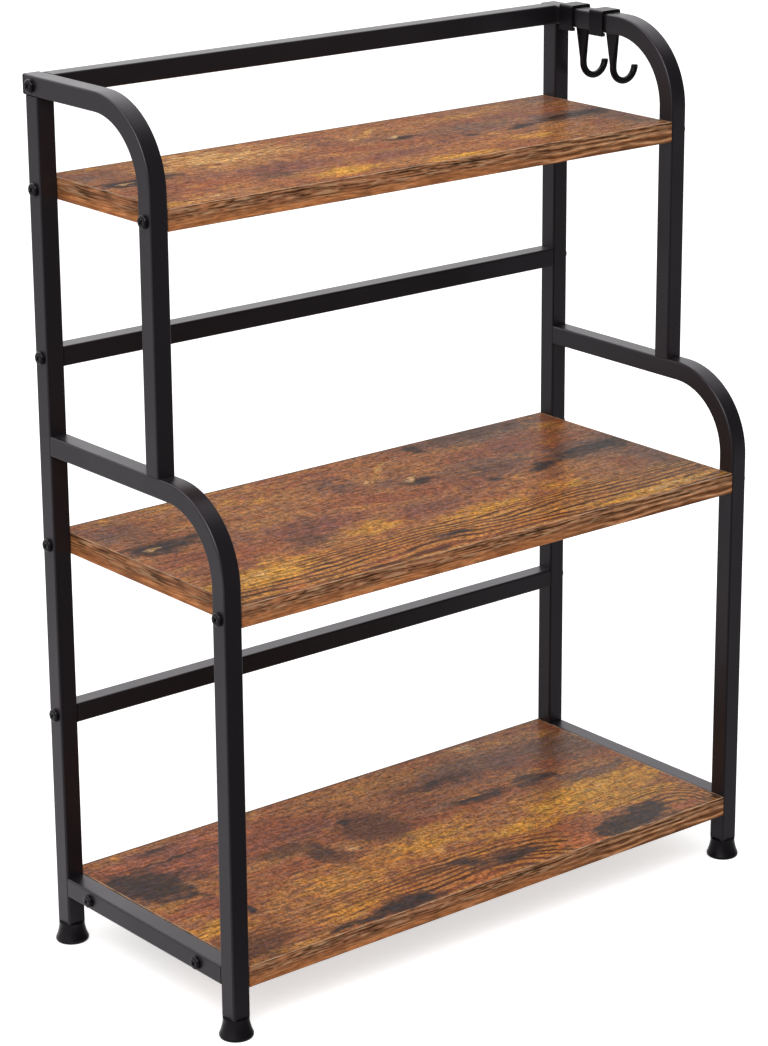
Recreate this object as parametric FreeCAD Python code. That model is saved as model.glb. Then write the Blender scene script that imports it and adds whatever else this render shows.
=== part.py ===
import FreeCAD, Part
import math
import os

# Stepped three-tier spice rack: two welded tube side frames, three back rails and three boards bolted
# between them, screw feet below and two clip-on hooks over the top right tube.
# Millimetres, +Z up, front towards -Y, +X to the right when facing the front.

V = FreeCAD.Vector

# Overall sizes, heights measured from the floor to the upper face
FRAME_WIDTH = 506.5
FRAME_DEPTH = 225.7
UPPER_DEPTH = 150.4
TOP_HEIGHT = 669.0
STEP_HEIGHT = 404.7
LOWER_RAIL_HEIGHT = 193.0
BOTTOM_SHELF_HEIGHT = 54.4

# How far the two upper boards lie below the bent tubes that hold them, and the middle rail above the step
TOP_SHELF_DROP = 74.2
MIDDLE_SHELF_DROP = 76.9
MIDDLE_RAIL_RISE = 65.5

# Square tube
TUBE = 15.0
TUBE_WALL = 1.0
TUBE_CORNER = 1.5
BEND_INNER_RADIUS = 50.0

# Boards and their edge bands
BOARD = 16.0
BAND = 1.0
BAND_ARRIS = 0.4
BOTTOM_BOLT_SPACING = 137.4

# Pan-head bolts and the threaded pieces they screw into
BOLT_DIAMETER = 5.0
BOLT_LENGTH = 30.0
BOLT_HEAD_DIAMETER = 10.2
BOLT_HEAD_HEIGHT = 3.0
BOLT_HEAD_ROUND = 1.8
BOLT_TIP_CHAMFER = 0.6
CROSS_LENGTH = 5.0
CROSS_WIDTH = 1.1
CROSS_DEPTH = 1.5
BOLT_HOLE_CLEARANCE = 0.25
THREAD_CLEARANCE = 0.05
INSERT_DIAMETER = 8.0
INSERT_LENGTH = 18.0
INSERT_BARB = 0.5
INSERT_BARBS = 4
RAIL_PLUG_LENGTH = 20.0
PLUG_CLEARANCE = 0.05

# End caps of the top tubes
CAP_FLANGE = 3.0
CAP_ARRIS = 0.8
CAP_BOLT_CLEARANCE = 1.0

# Screw feet
FOOT_HEIGHT = 15.4
FOOT_GAP = 0.4
FOOT_BASE_DIAMETER = 25.2
FOOT_TOP_DIAMETER = 19.5
FOOT_RIM = 2.4
FOOT_RIM_ROUND = 1.2
FOOT_NECK = 2.6
FOOT_FLARE_BOW = 0.45
STUD_DIAMETER = 6.0
STUD_ENGAGEMENT = 18.0
STUD_SEAT = 4.0
STUD_DISC_DIAMETER = 11.0
STUD_DISC = 2.5
FOOT_PLUG_LENGTH = 16.0

# Clip-on hooks over the top right tube
REAR_HOOK_FROM_BACK = 29.5
FRONT_HOOK_FROM_BACK = 64.4
HOOK_WIDTH = 15.0
HOOK_PLATE = 2.0
HOOK_CLEARANCE = 0.3
HOOK_OUTER_ROUND = 1.8
HOOK_LIP = 1.5
HOOK_LIP_HEIGHT = 2.6
HOOK_PLATE_CORNER = 0.6
HOOK_BAR = 5.4
HOOK_BAR_CORNER = 2.5
HOOK_BAR_OFFSET = 2.5
HOOK_BEND_RADIUS = 11.65
HOOK_SHANK = 28.0
HOOK_DROP = 45.4
HOOK_TIP_ROUND = 1.0

# How far a cutting tool runs past a face, and how near an edge lies to the place it is picked by
OVERCUT = 1.0
PICK = 0.01

# Lines that several pieces share
SIDE_OUT = FRAME_WIDTH / 2
SIDE_IN = SIDE_OUT - TUBE
SIDE_MID = SIDE_OUT - TUBE / 2
BACK = FRAME_DEPTH / 2
FRONT = -FRAME_DEPTH / 2
UPPER_FRONT = BACK - UPPER_DEPTH
REAR_POST_Y = BACK - TUBE / 2
FRONT_POST_Y = FRONT + TUBE / 2
UPPER_POST_Y = UPPER_FRONT + TUBE / 2
POST_BOTTOM = FOOT_HEIGHT + FOOT_GAP
TOP_TUBE_Z = TOP_HEIGHT - TUBE / 2
STEP_TUBE_Z = STEP_HEIGHT - TUBE / 2
BOTTOM_RAIL_Z = BOTTOM_SHELF_HEIGHT - TUBE / 2
BEND_RADIUS = BEND_INNER_RADIUS + TUBE / 2
BORE = TUBE - 2 * TUBE_WALL
BORE_CORNER = TUBE_CORNER - TUBE_WALL
SPAN = 2 * SIDE_IN
HOLE_RADIUS = BOLT_DIAMETER / 2 + BOLT_HOLE_CLEARANCE
THREAD_RADIUS = BOLT_DIAMETER / 2 + THREAD_CLEARANCE
SIDES = {"left": -1, "right": 1}

RAIL_HEIGHTS = {
    "top": TOP_HEIGHT,
    "middle": STEP_HEIGHT + MIDDLE_RAIL_RISE,
    "lower": LOWER_RAIL_HEIGHT,
}
SHELVES = {
    "top": (TOP_HEIGHT - TOP_SHELF_DROP, UPPER_FRONT, (UPPER_POST_Y, REAR_POST_Y)),
    "middle": (STEP_HEIGHT - MIDDLE_SHELF_DROP, FRONT, (FRONT_POST_Y, REAR_POST_Y)),
    "bottom": (BOTTOM_SHELF_HEIGHT, FRONT, (-BOTTOM_BOLT_SPACING / 2, BOTTOM_BOLT_SPACING / 2)),
}

# The origin stands on the floor under the middle of the whole part, feet and hooks included
LEFT_REACH = SIDE_MID + FOOT_BASE_DIAMETER / 2
RIGHT_REACH = SIDE_OUT + HOOK_BAR_OFFSET + 2 * HOOK_BEND_RADIUS + HOOK_BAR / 2
ORIGIN_X = (RIGHT_REACH - LEFT_REACH) / 2


def rounded_rect(width, depth, radius):
    """Closed wire in the XY plane, centred on the origin."""
    x = width / 2
    y = depth / 2
    turn = radius * math.sqrt(0.5)
    edges = []
    for sx, sy in ((1, 1), (-1, 1), (-1, -1), (1, -1)):
        centre = V(sx * (x - radius), sy * (y - radius), 0)
        ends = [centre + V(sx * radius, 0, 0), centre + V(0, sy * radius, 0)]
        if sx * sy < 0:
            ends.reverse()
        middle = centre + V(sx * turn, sy * turn, 0)
        edges.append(Part.Arc(ends[0], middle, ends[1]).toShape())
    corners = list(edges)
    for here, after in zip(corners, corners[1:] + corners[:1]):
        edges.append(Part.makeLine(here.lastVertex().Point, after.firstVertex().Point))
    return Part.Wire(Part.__sortEdges__(edges))


def placed(shape, point, direction):
    """A copy of a shape drawn on the XY plane, moved to a point and turned to face a direction."""
    copy = shape.copy()
    copy.Placement = FreeCAD.Placement(point, FreeCAD.Rotation(V(0, 0, 1), direction))
    return copy


def edges_at(shape, axis, value):
    """Edges that lie in the plane where a coordinate has one value."""
    return [e for e in shape.Edges if all(abs(getattr(v.Point, axis) - value) < PICK for v in e.Vertexes)]


def bar(size, corner, start, end):
    """Solid square bar between two points."""
    face = placed(Part.Face(rounded_rect(size, size, corner)), start, end - start)
    return face.extrude(end - start)


def bent_bar(size, corner, start, turn, end):
    """Solid square bar from start to end with one bend of BEND_RADIUS at the point of turn."""
    first = (turn - start).normalize()
    second = (end - turn).normalize()
    bend_in = turn - first * BEND_RADIUS
    bend_out = turn + second * BEND_RADIUS
    centre = bend_in + second * BEND_RADIUS
    face = placed(Part.Face(rounded_rect(size, size, corner)), bend_in, first)
    bend = face.revolve(centre, first.cross(second), 90)
    runs = [bend, bar(size, corner, bend_out, end)]
    return bar(size, corner, start, bend_in).fuse(runs).removeSplitter()


def straight_tube(start, end):
    return bar(TUBE, TUBE_CORNER, start, end).cut(bar(BORE, BORE_CORNER, start, end))


def bent_tube(start, turn, end):
    outside = bent_bar(TUBE, TUBE_CORNER, start, turn, end)
    return outside.cut(bent_bar(BORE, BORE_CORNER, start, turn, end))


def solid_plug(length, point, direction):
    """Square plug that fills the bore of a tube, from its mouth inwards."""
    size = BORE - 2 * PLUG_CLEARANCE
    face = Part.Face(rounded_rect(size, size, BORE_CORNER))
    return placed(face.extrude(V(0, 0, length)), point, direction)


def bolt_hole(radius, side, y, z, inner_x):
    """Cylinder along X from outside a side frame to inner_x."""
    start = SIDE_OUT + OVERCUT
    return Part.makeCylinder(radius, start - inner_x, V(side * start, y, z), V(-side, 0, 0))


def drilled(tube, side, points):
    """Side-frame tube with clearance holes for the bolts at points (y, z)."""
    holes = [bolt_hole(HOLE_RADIUS, side, y, z, SIDE_IN - OVERCUT) for y, z in points]
    return tube.cut(holes)


def rail_z(name):
    return RAIL_HEIGHTS[name] - TUBE / 2


def shelf_z(name):
    return SHELVES[name][0] - BOARD / 2


def shelf_bolt_points(name):
    """Side, Y and Z of each bolt that holds a board."""
    return [(side, y, shelf_z(name)) for side in SIDES.values() for y in SHELVES[name][2]]


def rear_post(side):
    x = side * SIDE_MID
    tube = straight_tube(V(x, REAR_POST_Y, POST_BOTTOM), V(x, REAR_POST_Y, TOP_HEIGHT - TUBE))
    heights = (rail_z("middle"), rail_z("lower"), shelf_z("top"), shelf_z("middle"))
    return drilled(tube, side, [(REAR_POST_Y, z) for z in heights])


def top_tube(side):
    """Top tube that bends down into the upper front post and stands on the step tube."""
    x = side * SIDE_MID
    tube = bent_tube(
        V(x, BACK, TOP_TUBE_Z),
        V(x, UPPER_POST_Y, TOP_TUBE_Z),
        V(x, UPPER_POST_Y, STEP_HEIGHT),
    )
    return drilled(tube, side, [(REAR_POST_Y, rail_z("top")), (UPPER_POST_Y, shelf_z("top"))])


def step_tube(side):
    """Tube from the rear post forward, bending down into the front post."""
    x = side * SIDE_MID
    tube = bent_tube(
        V(x, BACK - TUBE, STEP_TUBE_Z),
        V(x, FRONT_POST_Y, STEP_TUBE_Z),
        V(x, FRONT_POST_Y, POST_BOTTOM),
    )
    return drilled(tube, side, [(FRONT_POST_Y, shelf_z("middle"))])


def bottom_side_rail(side):
    x = side * SIDE_MID
    tube = straight_tube(V(x, BACK - TUBE, BOTTOM_RAIL_Z), V(x, FRONT + TUBE, BOTTOM_RAIL_Z))
    return drilled(tube, side, [(y, shelf_z("bottom")) for y in SHELVES["bottom"][2]])


def top_tube_end_cap(side):
    mouth = V(side * SIDE_MID, BACK, TOP_TUBE_Z)
    flange = placed(Part.Face(rounded_rect(TUBE, TUBE, TUBE_CORNER)), mouth, V(0, 1, 0))
    flange = flange.extrude(V(0, CAP_FLANGE, 0))
    flange = flange.makeFillet(CAP_ARRIS, edges_at(flange, "y", BACK + CAP_FLANGE))
    plug_length = TUBE / 2 - BOLT_DIAMETER / 2 - CAP_BOLT_CLEARANCE
    return flange.fuse(solid_plug(plug_length, mouth, V(0, -1, 0))).removeSplitter()


def back_rail(name):
    z = rail_z(name)
    return straight_tube(V(-SIDE_IN, REAR_POST_Y, z), V(SIDE_IN, REAR_POST_Y, z))


def back_rail_plugs(name):
    """Threaded plugs in the two ends of a back rail."""
    z = rail_z(name)
    plugs = []
    for side in SIDES.values():
        plug = solid_plug(RAIL_PLUG_LENGTH, V(side * SIDE_IN, REAR_POST_Y, z), V(-side, 0, 0))
        bore_end = SIDE_IN - RAIL_PLUG_LENGTH - OVERCUT
        plugs.append(plug.cut(bolt_hole(THREAD_RADIUS, side, REAR_POST_Y, z, bore_end)))
    return Part.makeCompound(plugs)


def insert_holes(name, radius, depth):
    """Blind holes in the two ends of a board, one for each bolt."""
    return [bolt_hole(radius, *point, SIDE_IN - depth) for point in shelf_bolt_points(name)]


def shelf_board(name):
    height, front, _ = SHELVES[name]
    length = SPAN - 2 * BAND
    depth = BACK - front - 2 * BAND
    board = Part.makeBox(length, depth, BOARD, V(-length / 2, front + BAND, height - BOARD))
    return board.cut(insert_holes(name, INSERT_DIAMETER / 2 + THREAD_CLEARANCE, INSERT_LENGTH))


def long_band(front_face, inward, height):
    """Edge band along the front or back of a board, its two outer edges eased."""
    length = SPAN - 2 * BAND
    y = min(front_face, front_face + inward * BAND)
    band = Part.makeBox(length, BAND, BOARD, V(-length / 2, y, height - BOARD))
    outer = [e for e in edges_at(band, "y", front_face) if e.Length > BOARD]
    return band.makeFillet(BAND_ARRIS, outer)


def shelf_edge_bands(name):
    """Front, back and end bands; the end bands cover the ends of the other two."""
    height, front, _ = SHELVES[name]
    bands = [long_band(front, 1, height), long_band(BACK, -1, height)]
    holes = insert_holes(name, INSERT_DIAMETER / 2 + THREAD_CLEARANCE, BAND + OVERCUT)
    for side in SIDES.values():
        x = min(side * SIDE_IN, side * (SIDE_IN - BAND))
        end = Part.makeBox(BAND, BACK - front, BOARD, V(x, front, height - BOARD))
        bands.append(end.cut(holes))
    return Part.makeCompound(bands)


def threaded_insert(side, y, z):
    """Barbed insert driven into the end of a board, flush with the edge band."""
    radius = INSERT_DIAMETER / 2
    pitch = INSERT_LENGTH / (INSERT_BARBS + 1)
    points = [V(THREAD_RADIUS, 0, 0), V(radius, 0, 0), V(radius, 0, pitch)]
    for barb in range(1, INSERT_BARBS + 1):
        points.append(V(radius - INSERT_BARB, 0, barb * pitch))
        points.append(V(radius, 0, (barb + 1) * pitch - INSERT_BARB))
    points.append(V(radius - INSERT_BARB, 0, INSERT_LENGTH))
    points.append(V(THREAD_RADIUS, 0, INSERT_LENGTH))
    face = Part.Face(Part.makePolygon(points + points[:1]))
    insert = face.revolve(V(0, 0, 0), V(0, 0, 1), 360)
    return placed(insert, V(side * SIDE_IN, y, z), V(-side, 0, 0))


def shelf_inserts(name):
    return Part.makeCompound([threaded_insert(*point) for point in shelf_bolt_points(name)])


def bolt(side, y, z):
    """Pan-head bolt with a cross recess, its head against the outer face of a side frame."""
    head = BOLT_HEAD_DIAMETER / 2
    flat = head - BOLT_HEAD_ROUND
    thread = BOLT_DIAMETER / 2
    turn = BOLT_HEAD_ROUND * (1 - math.sqrt(0.5))
    crown = V(flat, 0, BOLT_HEAD_HEIGHT)
    rim = V(head, 0, BOLT_HEAD_HEIGHT - BOLT_HEAD_ROUND)
    outline = [
        crown,
        V(0, 0, BOLT_HEAD_HEIGHT),
        V(0, 0, -BOLT_LENGTH),
        V(thread - BOLT_TIP_CHAMFER, 0, -BOLT_LENGTH),
        V(thread, 0, BOLT_TIP_CHAMFER - BOLT_LENGTH),
        V(thread, 0, 0),
        V(head, 0, 0),
        rim,
    ]
    shoulder = Part.Arc(rim, V(head - turn, 0, BOLT_HEAD_HEIGHT - turn), crown).toShape()
    body = Part.Face(Part.Wire(Part.makePolygon(outline).Edges + [shoulder]))
    body = body.revolve(V(0, 0, 0), V(0, 0, 1), 360)
    slot = Part.makeBox(CROSS_LENGTH, CROSS_WIDTH, CROSS_DEPTH + OVERCUT)
    slot.translate(V(-CROSS_LENGTH / 2, -CROSS_WIDTH / 2, BOLT_HEAD_HEIGHT - CROSS_DEPTH))
    for angle in (45, 135):
        turned = slot.copy()
        turned.rotate(V(0, 0, 0), V(0, 0, 1), angle)
        body = body.cut(turned)
    return placed(body, V(side * SIDE_OUT, y, z), V(side, 0, 0))


def shelf_bolts(name):
    return Part.makeCompound([bolt(*point) for point in shelf_bolt_points(name)])


def back_rail_bolts(name):
    return Part.makeCompound([bolt(side, REAR_POST_Y, rail_z(name)) for side in SIDES.values()])


def stud_profile(grow):
    """Foot stud about the Z axis, with its moulded-in disc, grown all round by a clearance."""
    top = POST_BOTTOM + STUD_ENGAGEMENT
    disc = Part.makeCylinder(STUD_DISC_DIAMETER / 2 + grow, STUD_DISC + 2 * grow, V(0, 0, STUD_SEAT - grow))
    rod = Part.makeCylinder(STUD_DIAMETER / 2 + grow, top - STUD_SEAT, V(0, 0, STUD_SEAT))
    return disc.fuse(rod).removeSplitter()


def foot_bell():
    """Flared round foot about the Z axis."""
    base = FOOT_BASE_DIAMETER / 2
    top = FOOT_TOP_DIAMETER / 2
    turn = FOOT_RIM_ROUND * (1 - math.sqrt(0.5))
    heel = V(base - FOOT_RIM_ROUND, 0, 0)
    round_end = V(base, 0, FOOT_RIM_ROUND)
    rim = V(base, 0, FOOT_RIM)
    neck = V(top, 0, FOOT_HEIGHT - FOOT_NECK)
    bow = (rim + neck) * 0.5 - V(FOOT_FLARE_BOW, 0, 0)
    edges = [
        Part.makeLine(V(0, 0, 0), heel),
        Part.Arc(heel, V(base - turn, 0, turn), round_end).toShape(),
        Part.makeLine(round_end, rim),
        Part.Arc(rim, bow, neck).toShape(),
        Part.makeLine(neck, V(top, 0, FOOT_HEIGHT)),
        Part.makeLine(V(top, 0, FOOT_HEIGHT), V(0, 0, FOOT_HEIGHT)),
        Part.makeLine(V(0, 0, FOOT_HEIGHT), V(0, 0, 0)),
    ]
    bell = Part.Face(Part.Wire(edges)).revolve(V(0, 0, 0), V(0, 0, 1), 360)
    return bell.cut(stud_profile(THREAD_CLEARANCE))


def foot_plug(point):
    """Threaded plug in the bottom of a post, which the foot's stud screws into."""
    plug = solid_plug(FOOT_PLUG_LENGTH, point, V(0, 0, 1))
    return plug.cut(Part.makeCylinder(STUD_DIAMETER / 2 + THREAD_CLEARANCE, FOOT_PLUG_LENGTH, point))


def hook_saddle():
    """Plate bent over the tube, whose top outer edge is the origin, with a lip under its inner side."""
    low = -TUBE - HOOK_CLEARANCE
    inner = -TUBE - HOOK_CLEARANCE
    outer = HOOK_CLEARANCE + HOOK_PLATE
    top = HOOK_CLEARANCE + HOOK_PLATE
    foot = low - HOOK_LIP_HEIGHT
    points = [
        V(HOOK_CLEARANCE, 0, low),
        V(outer, 0, low),
        V(outer, 0, top),
        V(inner - HOOK_PLATE, 0, top),
        V(inner - HOOK_PLATE, 0, foot),
        V(inner + HOOK_LIP, 0, foot),
        V(inner + HOOK_LIP, 0, low),
        V(inner, 0, low),
        V(inner, 0, HOOK_CLEARANCE),
        V(HOOK_CLEARANCE, 0, HOOK_CLEARANCE),
    ]
    saddle = Part.Face(Part.makePolygon(points + points[:1])).extrude(V(0, HOOK_WIDTH, 0))
    saddle.translate(V(0, -HOOK_WIDTH / 2, 0))
    ridges = [e for e in edges_at(saddle, "z", top) if abs(e.CenterOfMass.y) < PICK]
    return saddle.makeFillet(HOOK_OUTER_ROUND, ridges)


def hook_bar_section(z):
    section = rounded_rect(HOOK_BAR, HOOK_BAR, HOOK_BAR_CORNER)
    section.translate(V(HOOK_BAR_OFFSET, 0, z))
    return section


def hook():
    """Clip-on hook for a tube whose top outer edge is the origin: saddle, tapered shank and open bend."""
    shank_top = -TUBE - HOOK_CLEARANCE
    shank_end = shank_top - HOOK_SHANK
    plate = rounded_rect(HOOK_PLATE, HOOK_WIDTH, HOOK_PLATE_CORNER)
    plate.translate(V(HOOK_CLEARANCE + HOOK_PLATE / 2, 0, shank_top))
    shank = Part.makeLoft([plate, hook_bar_section(shank_end)], True, True)
    run = Part.Face(hook_bar_section(shank_end)).extrude(V(0, 0, -HOOK_DROP - shank_end))
    axis = V(HOOK_BAR_OFFSET + HOOK_BEND_RADIUS, 0, -HOOK_DROP)
    bend = Part.Face(hook_bar_section(-HOOK_DROP)).revolve(axis, V(0, -1, 0), 180)
    tip = [e for e in edges_at(bend, "z", -HOOK_DROP) if e.CenterOfMass.x > axis.x]
    bend = bend.makeFillet(HOOK_TIP_ROUND, tip)
    return hook_saddle().fuse([shank, run, bend]).removeSplitter()


def export(node, shape):
    """Write one sub-part, moved so that the origin stands under the middle of the whole part."""
    moved = shape.copy()
    moved.translate(V(-ORIGIN_X, 0, 0))
    moved.exportStep(os.path.join("parts", node + ".step"))


def side_frames():
    for name, side in SIDES.items():
        export(name + "_rear_post", rear_post(side))
        export(name + "_top_tube", top_tube(side))
        export(name + "_step_tube", step_tube(side))
        export(name + "_bottom_side_rail", bottom_side_rail(side))
        export(name + "_top_tube_end_cap", top_tube_end_cap(side))


def back_rails():
    for name in RAIL_HEIGHTS:
        export(name + "_back_rail", back_rail(name))
        export(name + "_back_rail_plugs", back_rail_plugs(name))
        export(name + "_back_rail_bolts", back_rail_bolts(name))


def shelves():
    for name in SHELVES:
        export(name + "_shelf_board", shelf_board(name))
        export(name + "_shelf_edge_bands", shelf_edge_bands(name))
        export(name + "_shelf_inserts", shelf_inserts(name))
        export(name + "_shelf_bolts", shelf_bolts(name))


def feet():
    bell = foot_bell()
    stud = stud_profile(0)
    for row, y in (("front", FRONT_POST_Y), ("rear", REAR_POST_Y)):
        for name, side in SIDES.items():
            under_post = V(side * SIDE_MID, y, 0)
            corner = row + "_" + name
            export(corner + "_foot", placed(bell, under_post, V(0, 0, 1)))
            export(corner + "_foot_stud", placed(stud, under_post, V(0, 0, 1)))
            export(corner + "_foot_plug", foot_plug(under_post + V(0, 0, POST_BOTTOM)))


def hooks():
    shape = hook()
    for row, from_back in (("rear", REAR_HOOK_FROM_BACK), ("front", FRONT_HOOK_FROM_BACK)):
        export(row + "_hook", placed(shape, V(SIDE_OUT, BACK - from_back, TOP_HEIGHT), V(0, 0, 1)))


os.makedirs("parts", exist_ok=True)
side_frames()
back_rails()
shelves()
feet()
hooks()
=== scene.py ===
import math

import bpy
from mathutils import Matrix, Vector


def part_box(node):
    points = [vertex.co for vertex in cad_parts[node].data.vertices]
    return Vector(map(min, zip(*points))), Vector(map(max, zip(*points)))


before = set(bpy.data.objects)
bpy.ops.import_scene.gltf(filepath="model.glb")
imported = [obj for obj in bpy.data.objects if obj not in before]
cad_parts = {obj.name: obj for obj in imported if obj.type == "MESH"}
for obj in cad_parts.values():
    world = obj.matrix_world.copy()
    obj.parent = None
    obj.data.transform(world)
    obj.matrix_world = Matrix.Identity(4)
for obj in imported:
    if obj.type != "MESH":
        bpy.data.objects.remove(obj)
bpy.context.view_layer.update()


def colour(code):
    """Linear colour of a six-digit sRGB code."""
    parts = [int(code[i:i + 2], 16) / 255 for i in (0, 2, 4)]
    return [c / 12.92 if c <= 0.04045 else ((c + 0.055) / 1.055) ** 2.4 for c in parts] + [1.0]


# Camera of the photo: place in metres, angles in degrees, lens and sensor in millimetres
CAMERA_PLACE = (-1.4885, -1.8005, 1.0736)
CAMERA_AZIMUTH = -40.35
CAMERA_ELEVATION = 17.27
CAMERA_LENS = 110.58
CAMERA_SENSOR = 36.0
CAMERA_SHIFT = (-0.0706, -0.0481)

# Key light: place, target and side in metres, power in watts
KEY_PLACE = (-1.6, -1.4, 2.2)
KEY_TARGET = (0, 0, 0.35)
KEY_SIDE = 1.6
KEY_POWER = 47.0

# What matt surfaces see: level of the surround at the horizon and overhead
AMBIENT_LEVEL = 0.48
AMBIENT_ABOVE = 1.06

# Floor: side in metres, share of light thrown back, and the lift that makes it white to the camera
FLOOR_SIDE = 14.0
FLOOR_ALBEDO = 0.80
FLOOR_LIFT = 0.60

# Studio that glossy surfaces see, in directions and places turned with the camera: x runs to the right
# rear and y to the left rear, where the left faces of the tubes mirror the view. A range is a start and
# an end, and a run is a range with the levels at both.
ROOM_DARK = 0.08
SURROUND_RUN = (-0.35, 0.30, ROOM_DARK, 1.0)
# Panel over the left rear
PANEL_HEIGHT = (0.45, 0.80)
PANEL_DEPTH = (0.0, 0.5)
PANEL_LEVEL = 2.4
# Bank of light over the right, by the cosine to its direction
BANK_AIM = (0.62, 0.22, 0.75)
BANK_RUN = (0.82, 0.98, 0.0, 1.1)
# Floor, in metres: white sweep to the left rear and a darker room to the right front
SWEEP_PEAK = 0.94
SWEEP_RISE = (-0.28, -0.04, 0.68, SWEEP_PEAK)
SWEEP_FALL = (0.04, 0.20, SWEEP_PEAK, 0.40)
SWEEP_EDGE = (-0.20, 0.20)
ROOM_RUN = (-0.10, 0.10, ROOM_DARK, 0.40)
# Shaded floor right of the left frame: its start along the rack's own x and its end along the turned x
SHADE_RUN = (-0.262, -0.235, 0.0, 0.75)
SHADE_END = (0.0, -0.08)

WHITE = (1, 1, 1, 1)

# A noise is its features per metre along x, y and z, its detail and, where it isn't a half, its roughness

# Black finishes: tone, grains per metre, strength of the relief, roughness, and sheen face on and at a
# flat angle
POWDER_COAT = (1.0, 900.0, 0.12, 0.36, 0.46, 0.98)
BLACK_ZINC = (0.5, 1500.0, 0.08, 0.24, 0.19, 0.7)
MOULDED_PLASTIC = (0.6, 1800.0, 0.15, 0.34, 0.19, 0.4)
# Their tints, cloudy gloss and grain, with its depth in metres
BLACK_DEEP = (0.0052, 0.0044, 0.0054, 1)
BLACK_LIGHT = (0.0088, 0.0076, 0.0090, 1)
BLACK_SHEEN = (1.0, 0.90, 1.0, 1)
CLOUD_NOISE = ((18.0, 18.0, 18.0), 4.0, 0.6)
CLOUD_RANGE = (0.3, 0.7)
ROUGHNESS_SWING = 0.04
PEEL_DEPTH = 0.00015
# Their sheen and clear coat over the angle of view, from 0 face on to 1 at the outline
SHEEN_ANGLES = (0.35, 0.75)
COAT_RUN = (0.5, 0.8, 0.0, 0.45)
COAT_ROUGHNESS = 0.32

# Zinc plate: tints, spangle, and strength and depth of the relief
ZINC_DARK = (0.50, 0.51, 0.53, 1)
ZINC_LIGHT = (0.64, 0.64, 0.63, 1)
SPANGLE_NOISE = ((700.0, 700.0, 700.0), 3.0)
SPANGLE_ROUGHNESS_RUN = (0.3, 0.7, 0.28, 0.40)
SPANGLE_RELIEF = (0.08, 0.0001)

# Paints of the boards' print and of their edge bands
GOLD = colour("d59938")
TAN = colour("a87348")
RED_BROWN = colour("945338")
PLUM = colour("774b43")
# Grey-brown of the print and bands, also laid on the boards' right ends as a painted sheen
GREY_BROWN_AND_SHEEN = colour("6b564c")
UMBER = colour("583c30")
CHARCOAL = colour("302c2c")
RING_BROWN = colour("4a2817")
PALE = colour("dcb077")
# Pale core of the edge bands, laid on their upper arris also as a painted highlight
PALE_CORE_AND_HIGHLIGHT = colour("b59a7e")
ORANGE = colour("b4683a")
SALMON = colour("ae6646")
BAND_TAN = colour("ab6c3e")
BAND_BROWN = colour("85502d")
BAND_DARK = colour("2b1c0f")
BAND_PALE = colour("c7a17c")

# Ground of the print. Flecks: level of the noise where they start and are full, their cover and paint.
BROAD_NOISE = ((8.0, 26.0, 0.0), 5.0, 0.6)
BROAD_RANGE = (0.35, 0.65)
MOTTLE_NOISE = ((26.0, 60.0, 0.0), 5.0, 0.68)
MOTTLE_FLECKS = [(0.50, 0.70, 0.55, GOLD), (0.48, 0.30, 0.65, PLUM)]
HUE_NOISE = ((46.0, 105.0, 0.0), 4.0, 0.65)
HUE_FLECKS = [(0.53, 0.74, 0.45, ORANGE), (0.47, 0.28, 0.60, PLUM)]

# Patches of the print. Each is an ellipse in millimetres from the middle of the board: x, y, half length,
# half width, turn in degrees and strength. These are on both upper boards.
UPPER_PRINT = {
    "tan": [
        (-90, 60, 120, 50, 0, 0.8), (50, 70, 90, 36, 0, 0.8), (-10, -56, 120, 30, 0, 0.8),
        (150, -60, 70, 26, 0, 0.6),
    ],
    "gold": [(-152, 104, 30, 14, 0, 0.4)],
    "red": [(201, -42, 24, 18, 0, 0.8), (-60, -95, 120, 18, 0, 0.6), (40, -100, 90, 14, 0, 0.5)],
    "plum": [
        (-22, 59, 30, 32, 0, 0.65), (-94, -4, 64, 38, 0, 1.0), (6, -24, 54, 28, 0, 0.9),
        (-150, 8, 40, 20, 0, 0.6), (60, -10, 60, 26, 0, 0.6), (150, 60, 60, 26, 0, 0.5),
    ],
    # Grey patches are grey-brown print; the two at the right end are a painted sheen
    "grey_and_sheen": [
        (104, 24, 84, 36, 0, 0.8), (226, -30, 34, 100, 0, 0.9), (206, 14, 90, 32, 6, 1.1),
        (-112, -32, 34, 26, 0, 0.5),
    ],
    "umber": [
        (-116, -28, 32, 28, 0, 0.6), (-36, -86, 26, 11, 0, 0.7), (-210, 28, 56, 22, 0, 0.7),
        (228, 8, 40, 24, 0, 0.7), (-92, 2, 34, 18, 0, 0.4),
    ],
    "orange": [(-184, -107, 20, 8, 0, 0.7), (-20, -104, 60, 9, 0, 0.5)],
    "dark": [
        (-204, 29, 60, 19, 4, 1.05), (42, 29, 22, 11, 0, 0.9), (89, -2, 20, 11, 0, 0.8),
        (143, -2, 30, 13, 10, 0.9), (212, 12, 76, 18, 8, 0.95), (-22, -85, 18, 9, 0, 0.8),
    ],
    "salmon": [(206, -36, 16, 12, 0, 0.6), (-170, -107, 14, 6, 0, 0.8), (-100, -100, 30, 6, 0, 0.6)],
    "pale": [
        (-213, 27, 9, 4, 10, 0.65), (36, 37, 8, 8, 0, 0.8), (-195, -69, 52, 14, 0, 0.45),
        (6, 50, 17, 5, 59, 0.5), (42, 80, 36, 5, 32, 0.5), (185, -100, 54, 8, 0, 0.5),
    ],
}
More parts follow.
